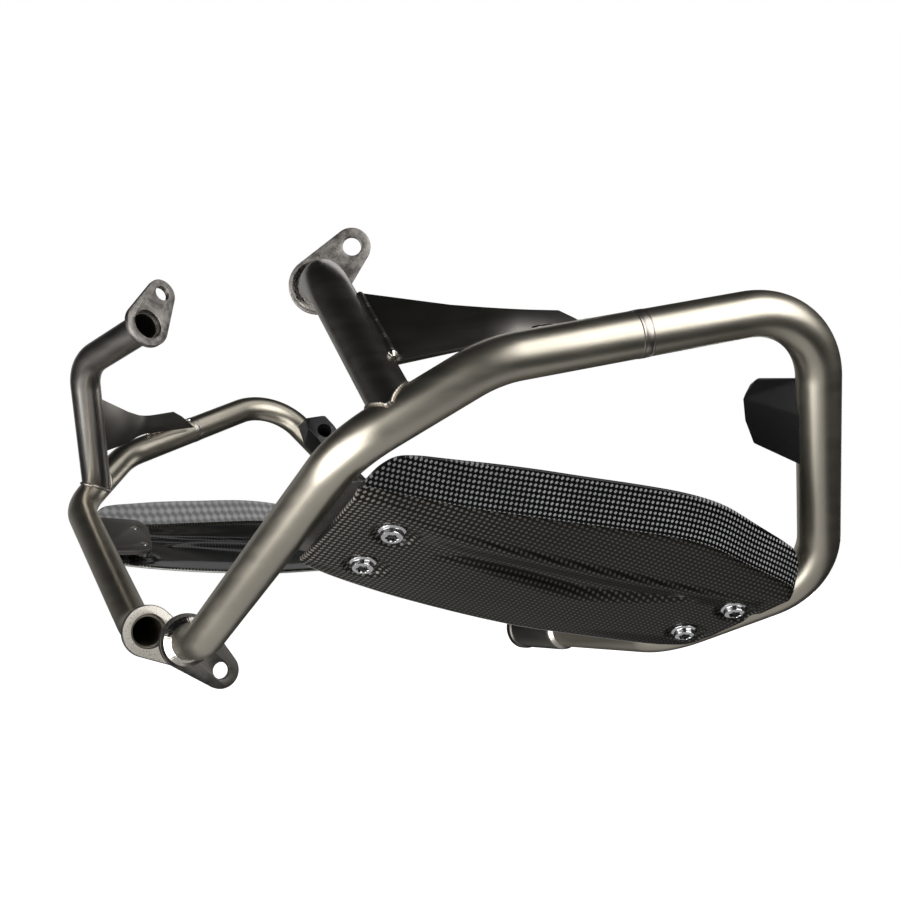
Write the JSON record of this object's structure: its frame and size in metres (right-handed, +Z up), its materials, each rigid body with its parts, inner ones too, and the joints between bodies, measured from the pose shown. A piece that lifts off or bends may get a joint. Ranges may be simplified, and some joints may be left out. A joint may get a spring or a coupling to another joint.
{
  "type": "motorcycle engine guard pair",
  "caption": "Left and right tubular titanium engine guards, each with a bent tube hoop, strut, gusset, bolt plates and a folded carbon-fibre lower panel.",
  "frame": {"origin": "on the machine's middle plane, where it is crossed by the axis of the tube bore in the left guard's lower mount plate; the lug between the two lower plates is centred here", "axes": "+X forward, +Y to the machine's left, +Z up"},
  "size_m": [0.3643, 0.7328, 0.3253],
  "materials": {
    "satin_titanium": "bead-blasted satin titanium, warm grey-brown",
    "strut_titanium": "bead-blasted titanium, darker",
    "plate_titanium": "laser-cut titanium plate, fine brushed face",
    "boss_titanium": "turned titanium bush",
    "gusset_titanium": "dark satin sheet metal",
    "bracket_dark": "dark satin plate",
    "joint_weld": "dressed butt weld",
    "polished_weld": "bright rippled weld bead",
    "carbon_face": "glossy lacquered fine-weave carbon fibre",
    "carbon_weave": "lacquered plain-weave carbon fibre",
    "screw_bright": "polished stainless steel",
    "nut_zinc": "zinc-plated steel",
    "bumper_black": "moulded matte black plastic",
    "bumper_screw_steel": "dark steel cap screw"
  },
  "bodies": {
    "root": {"left_front_tube": "satin_titanium", "left_rear_tube": "satin_titanium", "left_tube_joint_weld": "joint_weld", "left_strut_tube": "strut_titanium", "left_strut_foot_weld": "polished_weld", "left_upper_mount_plate": "plate_titanium", "left_upper_collar_weld": "polished_weld", "left_lower_mount_plate": "plate_titanium", "left_lower_collar_weld": "polished_weld", "left_rear_mount_boss": "boss_titanium", "left_gusset_plate": "gusset_titanium", "left_gusset_flange": "gusset_titanium", "left_front_panel_bracket": "bracket_dark", "left_rear_panel_bracket": "bracket_dark", "left_carbon_panel": "carbon_face", "left_carbon_side_wall": "carbon_weave", "left_front_panel_screws": "screw_bright", "left_rear_panel_screws": "screw_bright", "left_front_panel_nuts": "nut_zinc", "left_rear_panel_nuts": "nut_zinc", "left_bumper_block": "bumper_black", "left_bumper_screw": "bumper_screw_steel", "right_front_tube": "satin_titanium", "right_rear_tube": "satin_titanium", "right_tube_joint_weld": "joint_weld", "right_strut_tube": "strut_titanium", "right_strut_foot_weld": "polished_weld", "right_upper_mount_plate": "plate_titanium", "right_upper_collar_weld": "polished_weld", "right_lower_mount_plate": "plate_titanium", "right_lower_collar_weld": "polished_weld", "right_rear_mount_boss": "boss_titanium", "right_gusset_plate": "gusset_titanium", "right_gusset_flange": "gusset_titanium", "right_front_panel_bracket": "bracket_dark", "right_rear_panel_bracket": "bracket_dark", "right_carbon_panel": "carbon_face", "right_carbon_side_wall": "carbon_weave", "right_front_panel_screws": "screw_bright", "right_rear_panel_screws": "screw_bright", "right_front_panel_nuts": "nut_zinc", "right_rear_panel_nuts": "nut_zinc", "right_bumper_block": "bumper_black", "right_bumper_screw": "bumper_screw_steel"}
  },
  "joints": []
}
